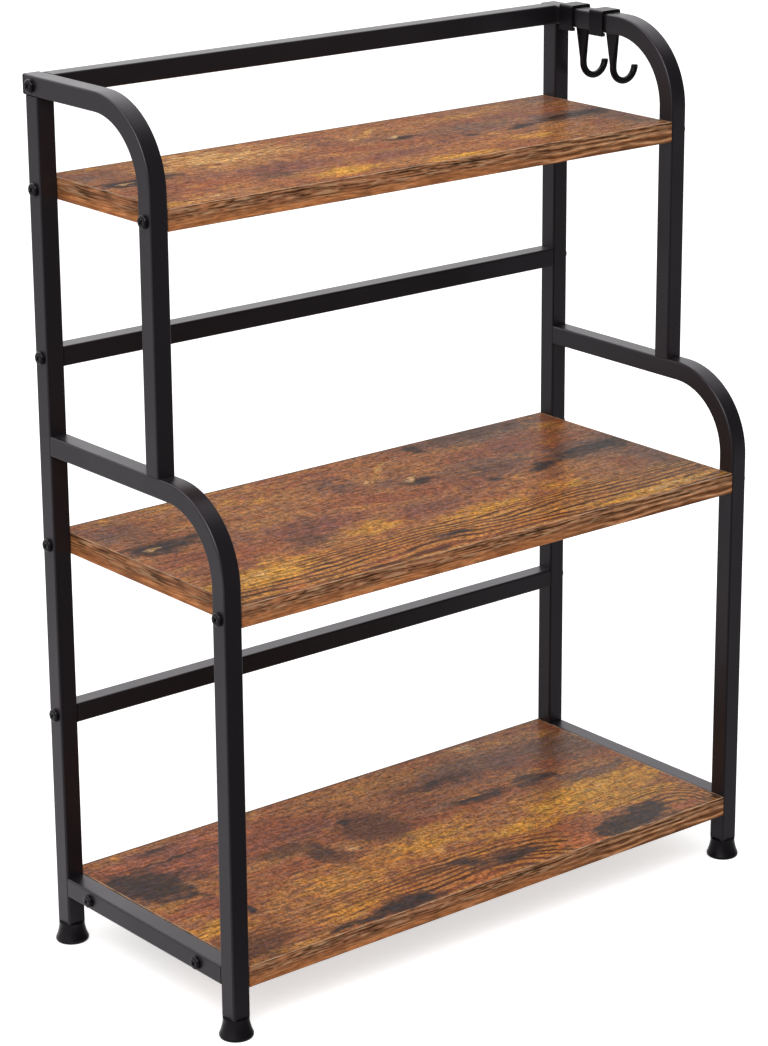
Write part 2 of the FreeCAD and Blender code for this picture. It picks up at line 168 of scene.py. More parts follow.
# Patches of the middle board alone: above all the gold of its left front
MIDDLE_PRINT = {
    "gold": [
        (-195, -70, 66, 24, 0, 1.1), (-150, -56, 46, 16, 0, 0.6), (-66, -36, 56, 22, 3, 0.6),
        (32, -55, 66, 15, 0, 0.7), (125, -46, 40, 18, 0, 0.6), (172, -101, 100, 12, 2, 1.0),
        (-94, 77, 95, 38, 0, 0.3), (30, 72, 60, 5, 42, 0.55),
    ],
    # The grey patch at the right rear is a painted sheen
    "grey_and_sheen": [
        (150, 99, 105, 26, 0, 1.3), (-217, 73, 40, 42, 0, 0.7), (20, 40, 40, 24, 0, 0.6),
        (-22, 60, 36, 34, 0, 0.5),
    ],
    "umber": [(150, 102, 80, 18, 0, 0.9), (104, 22, 50, 20, 0, 0.55)],
    "dark": [(87, 98, 14, 17, 0, 1.0)],
    "glint": [
        (-195, -70, 60, 18, 0, 1.3), (172, -101, 90, 10, 2, 1.1), (-60, -38, 40, 12, 0, 0.6),
        (30, -56, 50, 9, 0, 0.6),
    ],
}
# Patches of the top board alone
TOP_PRINT = {
    "gold": [
        (-62, -60, 44, 26, 3, 0.9), (32, -74, 56, 16, 0, 0.8), (122, -43, 36, 16, 0, 0.7),
        (-228, -74, 22, 14, 0, 0.8), (-112, 70, 95, 44, 0, 0.6), (30, 72, 60, 5, 42, 0.7),
        (140, 74, 90, 26, 0, 0.35),
    ],
    "grey_and_sheen": [(-217, 73, 40, 42, 0, 0.6), (20, 40, 40, 24, 0, 0.5), (220, 92, 40, 30, 0, 0.7)],
    "glint": [(-62, -60, 34, 18, 0, 0.9), (32, -76, 46, 10, 0, 0.7), (122, -43, 26, 10, 0, 0.5)],
    "pale": [(-112, 70, 120, 54, 0, 0.5)],
}
# Patches of the bottom board
LOWER_PRINT = {
    "tan": [
        (21, 88, 130, 28, 0, 1.2), (70, 24, 60, 22, 0, 0.7), (-90, -40, 120, 50, 0, 0.8),
        (60, -40, 110, 26, 0, 0.8),
    ],
    "gold": [
        (170, -33, 100, 30, 2, 1.1), (176, -64, 64, 15, 0, 1.0), (-8, -26, 86, 34, 0, 0.65),
        (-87, -36, 95, 42, 0, 0.5), (-217, -46, 44, 20, 0, 0.9), (-120, -82, 60, 15, 0, 0.7),
        (80, -52, 80, 18, 0, 0.7), (-224, 8, 34, 14, 0, 0.5), (24, 90, 100, 22, 0, 0.3),
    ],
    "red": [
        (-120, 70, 145, 52, 0, 0.8), (215, -100, 26, 16, 0, 0.9), (-105, 8, 70, 18, 0, 0.8),
        (20, -86, 140, 30, 0, 1.2), (-40, -72, 60, 14, 0, 1.3),
    ],
    "plum": [
        (-160, 66, 80, 44, 0, 0.9), (40, 40, 50, 26, 0, 0.5), (-60, 52, 60, 26, 0, 0.7),
        (-170, 94, 80, 26, 0, 0.9),
    ],
    "grey_and_sheen": [
        (122, 66, 125, 34, 0, 0.9), (210, 56, 56, 46, 0, 1.0), (190, -4, 70, 16, 0, 0.8),
        (60, 20, 50, 14, 0, 0.6),
    ],
    "umber": [
        (-13, 24, 40, 42, 0, 1.2), (-73, 8, 16, 44, 6, 1.1), (-98, 32, 40, 14, 0, 0.9),
        (86, 59, 56, 15, 0, 0.8), (-217, -88, 56, 34, 0, 0.9), (-215, 44, 62, 56, 0, 0.9),
        (162, -97, 56, 26, 0, 1.0), (26, -86, 56, 18, 0, 0.9), (-36, -71, 56, 9, 0, 0.65),
        (-82, -104, 38, 14, 0, 2.6),
    ],
    "orange": [
        (97, -103, 30, 14, 0, 1.2), (-9, -103, 36, 11, 0, 0.8), (206, -104, 16, 12, 0, 0.8),
        (-50, -34, 130, 40, 0, 0.3), (-130, -82, 70, 16, 0, 0.35),
    ],
    "dark": [
        (-217, 46, 48, 46, 0, 1.1), (-195, 17, 13, 26, 0, 0.8), (-73, 14, 11, 34, 6, 0.55),
        (-30, 42, 18, 14, 0, 0.7), (89, 16, 44, 12, 0, 0.9), (147, 15, 30, 17, 0, 1.0),
        (80, 60, 30, 10, 0, 0.6), (-82, -104, 30, 10, 0, 2.6), (-124, -106, 50, 6, 0, 1.6),
        (-174, 79, 60, 2.5, 0, 1.2), (-174, 99, 28, 8, 0, 0.7), (-2, -74, 28, 18, -20, 0.7),
        (38, -91, 38, 11, 6, 0.9), (137, -99, 34, 20, 0, 1.8), (174, -91, 27, 15, 0, 1.7),
        (-179, -35, 10, 13, 0, 1.0), (236, -110, 16, 12, 0, 0.9),
    ],
    "glint": [(176, -36, 84, 28, 2, 1.3), (0, -30, 60, 20, 0, 0.4), (-120, -82, 50, 10, 0, 0.35)],
    "salmon": [
        (-134, 92, 40, 12, 0, 0.9), (-166, 66, 50, 9, 0, 0.9), (-206, 88, 34, 10, 0, 0.8),
        (-140, 46, 34, 10, 0, 0.6), (92, -104, 26, 12, 0, 0.9), (206, -102, 16, 12, 0, 0.8),
        (-40, -106, 40, 8, 0, 0.6),
    ],
    "pale": [
        (145, 101, 14, 10, 0, 0.8), (-54, 4, 12, 10, 0, 0.6), (-2, -43, 24, 11, 0, 0.3),
        (180, -32, 60, 14, 0, 0.2),
    ],
}
# Order in which the patches are laid: paint, how much it covers what lies under it, how ragged and how
# soft its edge is
PATCH_LAYERS = [
    ("tan", TAN, 0.8, 1.0, 0.35),
    ("red", RED_BROWN, 0.75, 1.0, 0.35),
    ("plum", PLUM, 0.75, 1.0, 0.35),
    ("gold", GOLD, 0.8, 1.0, 0.35),
    # Grey: print, and a painted sheen at the boards' right ends
    ("grey_and_sheen", GREY_BROWN_AND_SHEEN, 0.75, 0.9, 0.35),
    ("umber", UMBER, 0.8, 0.7, 0.28),
    ("orange", ORANGE, 0.8, 0.8, 0.35),
    ("salmon", SALMON, 0.5, 1.2, 0.30),
    ("glint", GOLD, 0.6, 1.0, 0.30),
    ("dark", CHARCOAL, 1.0, 0.75, 0.28),
    ("pale", PALE, 0.7, 1.0, 0.30),
]
# The growth rings are laid just before the first group here, and the second is thinner here and there
GROUP_OVER_RINGS = "umber"
PATCHY_GROUP = "dark"
PATCHY_NOISE = ((80.0, 140.0, 0.0), 4.0, 0.65)
PATCHY_RUN = (0.34, 0.56, 0.66, 1.0)
# Edge of a patch: level at which it lies, and its raggedness, which fades out towards the ellipse's rim
PATCH_EDGE = 0.37
RAGGED_NOISE = ((50.0, 120.0, 0.0), 6.0, 0.68)
RAGGED_REACH = 1.1
RAGGED_RANGE = (0.0, 0.25)
# Wander of the patches: features per metre, and reach in metres about the middle of the noise
DRIFT = ((28.0, 28.0, 0.0), (0.034, 0.018, 0))
SHAKE = ((130.0, 130.0, 0.0), (0.012, 0.008, 0))
OFFSET_DETAIL = 3.0
NOISE_MIDDLE = (0.5, 0.5, 0.5)

# Knots that the growth rings run round: x, y, half length, half width and lift, in millimetres
UPPER_KNOTS = [(-38, -88, 60, 26, 8)]
LOWER_KNOTS = [(5, -92, 60, 30, 7)]
# Ring systems: x and y of the middle and half length of the straight run, in millimetres, and steepness
# of the ends
UPPER_NESTS = [(0, -125, 400, 0.5)]
LOWER_NESTS = [(-140, -125, 150, 0.55), (172, -122, 28, 1.4)]
# Spots of the lower board without rings: x, y, half length and half width in millimetres
LOWER_CALM = [(132, -88, 60, 52)]
CALM_RUN = (0.1, 0.5, 1.0, 0.0)
# Fading of the lower board's rings towards its left end, in metres
LOWER_RING_RUN = (-0.17, -0.03, 0.4, 1.0)
# Shape of the rings, in metres
NEST_MERGE = 0.014
RING_SPACING = 0.022
RING_CROWDING = 0.0315
RING_RANGE = (0.080, 0.055)
WANDER_NOISE = ((7.0, 24.0, 0.0), 2.0)
WANDER_REACH = 0.024
RIPPLE_NOISE = ((40.0, 60.0, 0.0), 2.0)
RIPPLE_REACH = 0.004
# Lines of the rings: second waves to a turn and their share, edge on the summed wave, and breaks
SECOND_WAVE = 1.7
SECOND_SHARE = 0.12
LINE_EDGE = (-0.1, 0.6)
LINE_BREAK_NOISE = ((26.0, 90.0, 0.0), 3.0)
LINE_BREAK_RUN = (0.36, 0.60, 0.5, 1.0)
# How much the rings cover on each board, and the gold between them as a share of that
TOP_RING_COVER = 0.25
MIDDLE_RING_COVER = 1.0
LOWER_RING_COVER = 0.95
GAP_SHARE = 0.35

# Fine grain: features per metre along x, y and z, detail and contrast or cover
BOARD_GRAIN = [(34, 240, 0, 4, 1.45), (110, 260, 0, 3, 1.85), (340, 250, 0, 2, 1.9)]
BOARD_PORES = [(100, 430, 0, 2, 0.60), (420, 470, 0, 1, 0.55)]
BOARD_STREAKS = [(8, 260, 0, 3, 0.55), (22, 380, 0, 3, 0.45)]
BAND_GRAIN = [(30, 20, 380, 3, 1.0), (90, 60, 640, 2, 1.9)]
BAND_DASHES = [(20, 16, 420, 2, 0.80), (48, 34, 640, 2, 0.85)]
BAND_FLECKS = [(40, 30, 640, 2, 0.45)]
GRAIN_ROUGHNESS = 0.6
GRAIN_FLOOR = 0.25
# Level of the noise at which a dash starts, and how much further it is full
DASH_START = 0.53
STREAK_START = 0.60
DASH_EDGE = 0.10
# Finest flecks of the boards' print, in two casts of its hue
FLECK_NOISE = ((130.0, 180.0, 0.0), 3.0, 0.7)
FLECK_RANGE = (0.34, 0.66)
WARM_CAST = (1.15, 1.00, 0.68, 1)
COOL_CAST = (0.87, 1.00, 1.36, 1)

# The top board's print is squeezed towards its rear edge
TOP_PRINT_SQUEEZE = 0.76
# The right end of each board is darker and shinier: where that starts and is full, and both factors there
RIGHT_END = (0.06, 0.19)
RIGHT_PRINT = 0.82
RIGHT_SHEEN = 2.7
# Dark line along the rear edge: distances from it in metres where it starts and is full, and its cover
REAR_LINE = (0.0022, 0.0012)
REAR_LINE_COVER = 0.7
# Surface of the print: roughness by the grain, sheen by the angle of view, and strength and depth of
# the relief
BOARD_ROUGHNESS_RUN = (0.5, 1.5, 0.38, 0.30)
BOARD_SHEEN_RUN = (0.56, 0.82, 0.045, 0.008)
PRINT_RELIEF = (0.06, 0.0002)

# Ground of the edge bands, and sway of their lines: features per metre and reach in metres
BAND_BROAD_NOISE = ((16.0, 16.0, 150.0), 4.0, 0.65)
BAND_SWAY = ((14.0, 14.0, 0.0), (0, 0, 0.006))
# Their dashes thicken upwards between two shares of the thickness, and are thinner to the right and on
# the ends
BUSY_START = 0.55
BUSY_FULL = 1.0
BUSY_WANDER = 0.7
BUSY_LEAST = 0.25
BUSY_LOSS_RIGHT = 0.5
BUSY_LOSS_ENDS = 0.15
BUSY_GREY = 0.35
# Fine broken lines of the edge bands: spacing in metres
BAND_LINE_SPACING = 0.0021
BAND_LINE_RUN = (0.0, 0.8, 0.0, 0.85)
BAND_BREAK_NOISE = ((60.0, 44.0, 260.0), 2.0)
BAND_BREAK_RANGE = (0.40, 0.58)
# Broad wavy lines to the right: spacing and wander in metres, start and end of their growth as shares of
# the length, and full cover
BAND_WAVE_SPACING = 0.0045
BAND_WAVE_NOISE = ((16.0, 16.0, 60.0), 2.0)
BAND_WAVE_REACH = 0.011
BAND_WAVE_START = 0.55
BAND_WAVE_FULL = 0.80
BAND_WAVE_COVER = 0.7
BAND_WAVE_DARK = (-0.1, 0.9)
BAND_WAVE_PALE = (-0.4, -0.95, 0.0, 0.6)
# Pale core where the upper arris is worn, and a painted highlight on the upward-facing arris and top of the
# band
WORN_HIGHLIGHT_NOISE = ((70.0, 70.0, 0.0), 3.0)
WORN_HIGHLIGHT_RUN = (0.35, 0.65, 0.15, 0.75)
ARRIS_RANGE = (0.15, 0.6)
# Surface of the edge bands
BAND_ROUGHNESS = 0.45
BAND_SHEEN = 0.06


class Graph:
    """Short calls for building a node tree."""

    def __init__(self, tree):
        self.tree = tree
        tree.nodes.clear()

    def add(self, kind, sockets=(), **settings):
        node = self.tree.nodes.new(kind)
        for key, value in settings.items():
            setattr(node, key, value)
        for key, value in dict(sockets).items():
            self.put(node.inputs[key], value)
        return node

    def put(self, socket, value):
        if isinstance(value, bpy.types.NodeSocket):
            self.tree.links.new(value, socket)
        else:
            socket.default_value = value

    def math(self, operation, *values):
        return self.add("ShaderNodeMath", enumerate(values), operation=operation).outputs[0]

    def times(self, first, *others):
        """Product of several values."""
        for other in others:
            first = self.math("MULTIPLY", first, other)
        return first

    def vector(self, operation, *values):
        return self.add("ShaderNodeVectorMath", enumerate(values), operation=operation).outputs[0]

    def scale(self, vector, factor):
        return self.add("ShaderNodeVectorMath", {0: vector, "Scale": factor}, operation="SCALE").outputs[0]

    def dot(self, first, second):
        node = self.add("ShaderNodeVectorMath", {0: first, 1: second}, operation="DOT_PRODUCT")
        return node.outputs["Value"]

    def parts(self, vector):
        return self.add("ShaderNodeSeparateXYZ", {"Vector": vector}).outputs

    def coordinates(self, kind):
        return self.add("ShaderNodeTexCoord").outputs[kind]

    def facing(self):
        """0 where a surface faces the viewer, 1 at its outline."""
        return self.add("ShaderNodeLayerWeight").outputs["Facing"]

    def noise(self, place, stretch, detail=2.0, roughness=0.5, output="Fac"):
        """Noise with the given number of features per metre along x, y and z."""
        place = self.vector("MULTIPLY", place, stretch)
        sockets = {"Vector": place, "Scale": 1.0, "Detail": detail, "Roughness": roughness}
        return self.add("ShaderNodeTexNoise", sockets).outputs[output]

    def spread(self, value, low, high, to_low=0.0, to_high=1.0):
        """Smooth step from one level to another."""
        sockets = {"Value": value, "From Min": low, "From Max": high, "To Min": to_low, "To Max": to_high}
        return self.add("ShaderNodeMapRange", sockets, interpolation_type="SMOOTHSTEP").outputs[0]

    def blend(self, share, first, second):
        """Mix of two numbers."""
        return self.add("ShaderNodeMix", {0: share, 2: first, 3: second}).outputs[0]

    def mix(self, share, first, second):
        """Mix of two colours."""
        node = self.add("ShaderNodeMix", {0: share, 6: first, 7: second}, data_type="RGBA")
        return node.outputs[2]


def new_material(name):
    material = bpy.data.materials.new(name)
    material.use_nodes = True
    return material, Graph(material.node_tree)


def finish_surface(graph, height, strength, distance, **sockets):
    """Principled surface with the given sockets, and a relief from a height."""
    shader = graph.add("ShaderNodeBsdfPrincipled")
    for key, value in sockets.items():
        graph.put(shader.inputs[key.replace("_", " ")], value)
    relief = graph.add("ShaderNodeBump", {"Height": height, "Strength": strength, "Distance": distance})
    graph.put(shader.inputs["Normal"], relief.outputs[0])
    graph.add("ShaderNodeOutputMaterial", {"Surface": shader.outputs[0]})


def black_finish(name, tone, grain, relief, rough, facing_level, grazing_level):
    """Black coat or plastic: fine grain, cloudy gloss, and more sheen at a flat angle."""
    material, graph = new_material(name)
    place = graph.coordinates("Object")
    peel = graph.noise(place, (grain, grain, grain))
    cloud = graph.noise(place, *CLOUD_NOISE)
    tint = graph.scale(graph.mix(cloud, BLACK_DEEP, BLACK_LIGHT), tone)
    gloss = graph.spread(cloud, *CLOUD_RANGE, rough + ROUGHNESS_SWING, rough - ROUGHNESS_SWING)
    facing = graph.facing()
    level = graph.spread(facing, *SHEEN_ANGLES, facing_level, grazing_level)
    coat = graph.spread(facing, *COAT_RUN)
    finish_surface(
        graph, peel, relief, PEEL_DEPTH,
        Base_Color=tint, Roughness=gloss, Specular_IOR_Level=level, Specular_Tint=BLACK_SHEEN,
        Coat_Weight=coat, Coat_Roughness=COAT_ROUGHNESS,
    )
    return material


def zinc_plate():
    material, graph = new_material("zinc_plate")
    spangle = graph.noise(graph.coordinates("Object"), *SPANGLE_NOISE)
    tint = graph.mix(spangle, ZINC_DARK, ZINC_LIGHT)
    gloss = graph.spread(spangle, *SPANGLE_ROUGHNESS_RUN)
    finish_surface(graph, spangle, *SPANGLE_RELIEF, Base_Color=tint, Roughness=gloss, Metallic=1.0)
    return material


def metres(*sizes):
    """Sizes in metres from sizes in millimetres."""
    return [size / 1000 for size in sizes]


def blob(graph, place, x, y, length, width, turn=0):
    """1 in the middle of an ellipse, falling evenly to 0 at its edge."""
    sockets = {
        "Vector": place,
        "Location": (*metres(x, y), 0),
        "Rotation": (0, 0, math.radians(turn)),
        "Scale": (*metres(length, width), 1),
    }
    spot = graph.add("ShaderNodeMapping", sockets, vector_type="TEXTURE")
    fall = graph.add("ShaderNodeTexGradient", {"Vector": spot.outputs[0]}, gradient_type="SPHERICAL")
    return fall.outputs["Fac"]


def patches(graph, place, entries, ragged, soft):
    """Mask of several ellipses with a ragged and more or less soft edge."""
    field = 0.0
    for *shape, strength in entries:
        field = graph.math("MAXIMUM", field, graph.times(blob(graph, place, *shape), strength))
    edge = graph.times(ragged, graph.spread(field, *RAGGED_RANGE))
    return graph.spread(graph.math("ADD", field, edge), PATCH_EDGE - soft, PATCH_EDGE + soft)


def ring_level(graph, place, nests):
    """Distance from the nearest ring system, in metres."""
    parts = graph.parts(place)
    level = 1.0
    for *sizes, steepness in nests:
        x, y, straight = metres(*sizes)
        run = graph.math("ABSOLUTE", graph.math("SUBTRACT", parts["X"], x))
        run = graph.math("MAXIMUM", graph.math("SUBTRACT", run, straight), 0.0)
        run = graph.times(run, steepness)
        rise = graph.math("SUBTRACT", parts["Y"], y)
        away = graph.math("SQRT", graph.math("MULTIPLY_ADD", run, run, graph.times(rise, rise)))
        level = graph.math("SMOOTH_MIN", level, away, NEST_MERGE)
    return level


def growth_rings(graph, place, nests, knots, fade=None, calm=()):
    """Dark lines that close round the ring systems and part at the knots, and the gaps between them."""
    level = ring_level(graph, place, nests)
    near = graph.spread(level, *RING_RANGE)
    if fade:
        near = graph.times(near, graph.spread(graph.parts(place)["X"], *fade))
    for shape in calm:
        near = graph.times(near, graph.spread(blob(graph, place, *shape), *CALM_RUN))
    for *shape, lift in knots:
        knot = graph.spread(blob(graph, place, *shape), 0.0, 1.0)
        level = graph.math("MULTIPLY_ADD", knot, -lift / 1000, level)
    level = graph.math("MULTIPLY_ADD", graph.noise(place, *WANDER_NOISE), WANDER_REACH, level)
    level = graph.math("MULTIPLY_ADD", graph.noise(place, *RIPPLE_NOISE), RIPPLE_REACH, level)
    crowding = graph.math("POWER", graph.math("DIVIDE", level, RING_CROWDING), 2.0)
    turns = graph.math("MULTIPLY_ADD", level, 1 / RING_SPACING, crowding)
    wave = graph.math("SINE", graph.times(turns, math.tau))
    second = graph.math("SINE", graph.times(turns, math.tau * SECOND_WAVE))
    lines = graph.spread(graph.math("MULTIPLY_ADD", second, SECOND_SHARE, wave), *LINE_EDGE)
    gaps = graph.math("SUBTRACT", 1.0, lines)
    broken = graph.spread(graph.noise(place, *LINE_BREAK_NOISE), *LINE_BREAK_RUN)
    return graph.times(lines, near, broken), graph.times(gaps, near)


def grain_shade(graph, place, layers):
    """Brightness about 1 from several layers of fine noise."""
    shade = 1.0 - sum(layer[-1] for layer in layers) / 2
    for *stretch, detail, gain in layers:
        field = graph.noise(place, stretch, detail, GRAIN_ROUGHNESS)
        shade = graph.math("MULTIPLY_ADD", field, gain, shade)
    return graph.math("MAXIMUM", shade, GRAIN_FLOOR)


def lay_dashes(graph, place, tint, layers, paint, start=DASH_START, reach=1.0):
    """Dashes of one paint over a print."""
    for *stretch, detail, cover in layers:
        field = graph.noise(place, stretch, detail, GRAIN_ROUGHNESS)
        dashes = graph.spread(field, start, start + DASH_EDGE, 0.0, cover)
        tint = graph.mix(graph.times(dashes, reach), tint, paint)
    return tint


def offset_noise(graph, place, stretch, reach):
    """Vector that wanders by up to about half the reach."""
    value = graph.noise(place, stretch, OFFSET_DETAIL, output="Color")
    return graph.vector("MULTIPLY", graph.vector("SUBTRACT", value, NOISE_MIDDLE), reach)


def print_place(graph, squeeze, middle, rear):
    """Place on a board, along x from its middle, with the print squeezed towards the rear edge."""
    sockets = {
        "Vector": graph.coordinates("Object"),
        "Location": (middle, rear * (1 - squeeze), 0),
        "Scale": (1, squeeze, 1),
    }
    flat = graph.add("ShaderNodeMapping", sockets, vector_type="TEXTURE")
    return graph.vector("MULTIPLY", flat.outputs[0], (1, 1, 0))


def print_ground(graph, place, warped):
    """Mottled brown ground of a print."""
    broad = graph.noise(place, *BROAD_NOISE)
    tint = graph.mix(graph.spread(broad, *BROAD_RANGE), RED_BROWN, TAN)
    mottle = graph.noise(warped, *MOTTLE_NOISE)
    hue = graph.noise(place, *HUE_NOISE)
    for field, flecks in ((mottle, MOTTLE_FLECKS), (hue, HUE_FLECKS)):
        for start, full, cover, paint in flecks:
            tint = graph.mix(graph.spread(field, start, full, 0.0, cover), tint, paint)
    return tint


def lay_patches(graph, place, warped, tint, features, rings, ring_cover):
    """Patches over the ground, with the growth rings between them."""
    ragged = graph.noise(place, *RAGGED_NOISE)
    ragged = graph.math("MULTIPLY_ADD", ragged, 2 * RAGGED_REACH, -RAGGED_REACH)
    patchy = graph.spread(graph.noise(place, *PATCHY_NOISE), *PATCHY_RUN)
    lines, gaps = growth_rings(graph, place, *rings)
    for group, paint, cover, rag, soft in PATCH_LAYERS:
        if group == GROUP_OVER_RINGS:
            tint = graph.mix(graph.times(gaps, GAP_SHARE * ring_cover), tint, GOLD)
            tint = graph.mix(graph.times(lines, ring_cover), tint, RING_BROWN)
        mask = patches(graph, warped, features[group], graph.times(ragged, rag), soft)
        if group == PATCHY_GROUP:
            mask = graph.times(mask, patchy)
        tint = graph.mix(graph.times(mask, cover), tint, paint)
    return tint


def board_print(name, features, rings, ring_cover, squeeze, middle, rear):
    """Rustic brown print: mottled ground, patches, growth rings and fine grain."""
    material, graph = new_material(name)
    place = print_place(graph, squeeze, middle, rear)
    drift = offset_noise(graph, place, *DRIFT)
    shake = offset_noise(graph, place, *SHAKE)
    warped = graph.vector("ADD", place, graph.vector("ADD", drift, shake))
    tint = print_ground(graph, place, warped)
    tint = lay_patches(graph, place, warped, tint, features, rings, ring_cover)
    shade = grain_shade(graph, place, BOARD_GRAIN)
    along = graph.parts(place)["X"]
    darker = graph.spread(along, *RIGHT_END, 1.0, RIGHT_PRINT)
    tint = graph.scale(tint, graph.times(shade, darker))
    fleck = graph.spread(graph.noise(place, *FLECK_NOISE), *FLECK_RANGE)
    tint = graph.vector("MULTIPLY", tint, graph.mix(fleck, COOL_CAST, WARM_CAST))
    tint = lay_dashes(graph, place, tint, BOARD_PORES, RING_BROWN)
    tint = lay_dashes(graph, place, tint, BOARD_STREAKS, RING_BROWN, STREAK_START)
    depth = graph.parts(graph.coordinates("Object"))["Y"]
    line_start, line_full = (rear - distance for distance in REAR_LINE)
    tint = graph.mix(graph.spread(depth, line_start, line_full, 0.0, REAR_LINE_COVER), tint, CHARCOAL)
    gloss = graph.spread(shade, *BOARD_ROUGHNESS_RUN)
    sheen = graph.spread(graph.facing(), *BOARD_SHEEN_RUN)
    sheen = graph.times(sheen, graph.spread(along, *RIGHT_END, 1.0, RIGHT_SHEEN))
    finish_surface(
        graph, shade, *PRINT_RELIEF,
        Base_Color=tint, Roughness=gloss, Specular_IOR_Level=sheen,
    )
    return material


def band_busyness(graph, height, broad, right, end_face, thickness):
    """How thick the dashes of an edge band lie."""
    level = graph.math("MULTIPLY_ADD", broad, thickness * BUSY_WANDER, height)
    busy = graph.spread(level, thickness * BUSY_START, thickness * BUSY_FULL, BUSY_LEAST, 1.0)
    rest_right = graph.math("MULTIPLY_ADD", right, -BUSY_LOSS_RIGHT, 1.0)
    rest_ends = graph.math("MULTIPLY_ADD", end_face, -BUSY_LOSS_ENDS, 1.0)
    return graph.times(busy, rest_right, rest_ends)


def lay_band_lines(graph, place, wavy, tint, busy):
    """Fine broken lines along an edge band."""
    wave = graph.math("SINE", graph.times(graph.parts(wavy)["Z"], math.tau / BAND_LINE_SPACING))
    broken = graph.spread(graph.noise(place, *BAND_BREAK_NOISE), *BAND_BREAK_RANGE)
    return graph.mix(graph.times(graph.spread(wave, *BAND_LINE_RUN), broken, busy), tint, BAND_DARK)


def lay_band_waves(graph, place, tint, right):
    """Broad dark and pale waves along the right part of an edge band."""
    wander = graph.noise(place, *BAND_WAVE_NOISE)
    level = graph.math("MULTIPLY_ADD", wander, BAND_WAVE_REACH, graph.parts(place)["Z"])
    wave = graph.math("SINE", graph.times(level, math.tau / BAND_WAVE_SPACING))
    tint = graph.mix(graph.times(graph.spread(wave, *BAND_WAVE_DARK), right), tint, BAND_DARK)
    return graph.mix(graph.times(graph.spread(wave, *BAND_WAVE_PALE), right), tint, BAND_PALE)


def band_print(name, low, high):
    """Edge bands: dark dashes, thickest above, waves to the right and a pale core with a painted highlight
    at the upper arris.
    """
    material, graph = new_material(name)
    length, _, thickness = (b - a for a, b in zip(low, high))
    place = graph.vector("SUBTRACT", graph.coordinates("Object"), tuple(low))
    wavy = graph.vector("ADD", place, offset_noise(graph, place, *BAND_SWAY))
    parts = graph.parts(place)
    normal = graph.parts(graph.add("ShaderNodeNewGeometry").outputs["Normal"])
    end_face = graph.math("ABSOLUTE", normal["X"])
    broad = graph.noise(place, *BAND_BROAD_NOISE)
    wave_start, wave_full = length * BAND_WAVE_START, length * BAND_WAVE_FULL
    right = graph.spread(parts["X"], wave_start, wave_full, 0.0, BAND_WAVE_COVER)
    busy = band_busyness(graph, parts["Z"], broad, right, end_face, thickness)
    tint = graph.mix(graph.spread(broad, *BROAD_RANGE), BAND_BROWN, BAND_TAN)
    tint = graph.mix(graph.times(busy, BUSY_GREY), tint, GREY_BROWN_AND_SHEEN)
    tint = lay_band_lines(graph, place, wavy, tint, busy)
    tint = lay_band_waves(graph, place, tint, right)
    shade = grain_shade(graph, wavy, BAND_GRAIN)
    tint = lay_dashes(graph, wavy, graph.scale(tint, shade), BAND_DASHES, BAND_DARK, reach=busy)
    tint = lay_dashes(graph, wavy, tint, BAND_FLECKS, BAND_PALE, reach=busy)
    # Worn pale core and painted highlight on the upper arris and the top of the band
    worn_highlight = graph.spread(graph.noise(place, *WORN_HIGHLIGHT_NOISE), *WORN_HIGHLIGHT_RUN)
    tint = graph.mix(graph.times(graph.spread(normal["Z"], *ARRIS_RANGE), worn_highlight), tint, PALE_CORE_AND_HIGHLIGHT)
    finish_surface(
        graph, shade, *PRINT_RELIEF,
        Base_Color=tint, Roughness=BAND_ROUGHNESS, Specular_IOR_Level=BAND_SHEEN,
    )
    return material


def set_camera():
    data = bpy.data.cameras.new("photo_camera")
    data.sensor_width = CAMERA_SENSOR
    data.lens = CAMERA_LENS
    data.shift_x, data.shift_y = CAMERA_SHIFT
    camera = bpy.data.objects.new("photo_camera", data)
    camera.location = CAMERA_PLACE
    camera.rotation_euler = (math.radians(90 - CAMERA_ELEVATION), 0.0, math.radians(CAMERA_AZIMUTH))
    bpy.context.scene.collection.objects.link(camera)
    bpy.context.scene.camera = camera


def turned_parts(graph, place):
    """Coordinates turned with the camera: x to the right rear and y to the left rear."""
    turn = (0, 0, math.radians(CAMERA_AZIMUTH))
    return graph.parts(graph.add("ShaderNodeMapping", {"Vector": place, "Rotation": turn}).outputs[0])


def set_world():
    """White for the camera, brighter above for matt surfaces, and a studio for glossy ones."""
    world = bpy.data.worlds.new("studio")
    world.use_nodes = True
    graph = Graph(world.node_tree)
    ray = graph.add("ShaderNodeLightPath").outputs
    towards = graph.coordinates("Generated")
    parts = turned_parts(graph, towards)
    panel = graph.times(graph.spread(parts["Z"], *PANEL_HEIGHT), graph.spread(parts["Y"], *PANEL_DEPTH))
    gloss = graph.math("MULTIPLY_ADD", panel, PANEL_LEVEL, graph.spread(parts["Y"], *SURROUND_RUN))
    gloss = graph.math("ADD", gloss, graph.spread(graph.dot(towards, BANK_AIM), *BANK_RUN))
    ambient = graph.spread(parts["Z"], 0.0, 1.0, AMBIENT_LEVEL, AMBIENT_ABOVE)
    level = graph.blend(ray["Is Glossy Ray"], ambient, gloss)
    plain = graph.math("MAXIMUM", ray["Is Camera Ray"], ray["Is Transmission Ray"])
    back = graph.add("ShaderNodeBackground", {"Color": WHITE, "Strength": graph.blend(plain, level, 1.0)})
    graph.add("ShaderNodeOutputWorld", {"Surface": back.outputs[0]})
    bpy.context.scene.world = world


